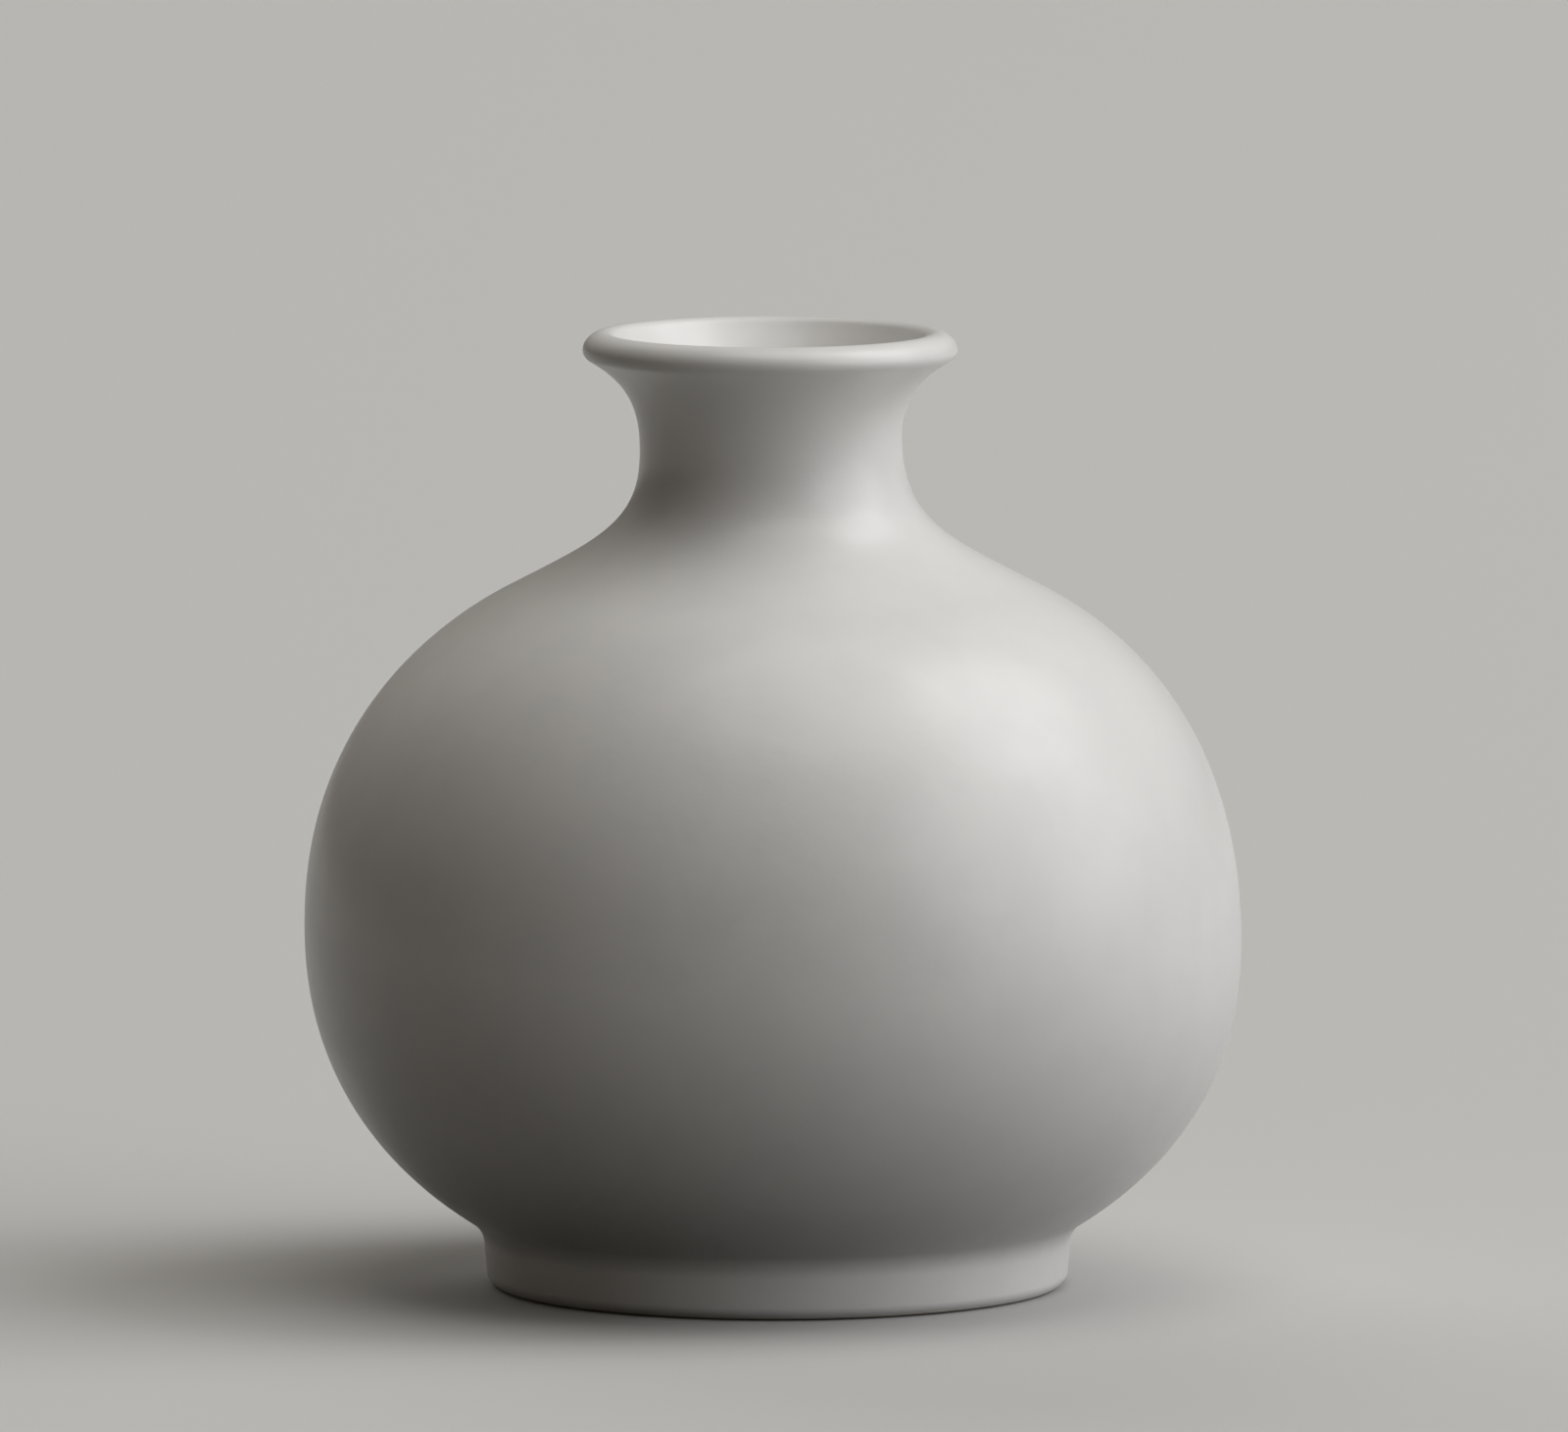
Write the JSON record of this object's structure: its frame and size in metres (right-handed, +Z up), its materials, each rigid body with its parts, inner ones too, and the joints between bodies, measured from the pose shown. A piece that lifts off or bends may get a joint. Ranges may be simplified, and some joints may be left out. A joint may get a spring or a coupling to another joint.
{
  "type": "ikebana vase",
  "caption": "Round-bellied white porcelain flower vase on a low foot ring, with a waisted neck, flared mouth and rolled lip, luted from turned sections.",
  "frame": {"origin": "centre of the standing face, on the vase's axis, where it touches the table", "axes": "+Z up along the axis that the form is turned about, from the foot to the mouth; +X and +Y lie in the table's plane and are equal, because the form is round"},
  "size_m": [0.1148, 0.1148, 0.1173],
  "materials": {
    "satin_glaze": "satin",
    "bare_porcelain": "matte",
    "joint_slip": "matte"
  },
  "bodies": {
    "root": {"foot_ring": "bare_porcelain", "foot_seam": "joint_slip", "lower_bowl": "satin_glaze", "belly_seam": "joint_slip", "upper_dome": "satin_glaze", "neck_seam": "joint_slip", "neck_collar": "satin_glaze"}
  },
  "joints": []
}
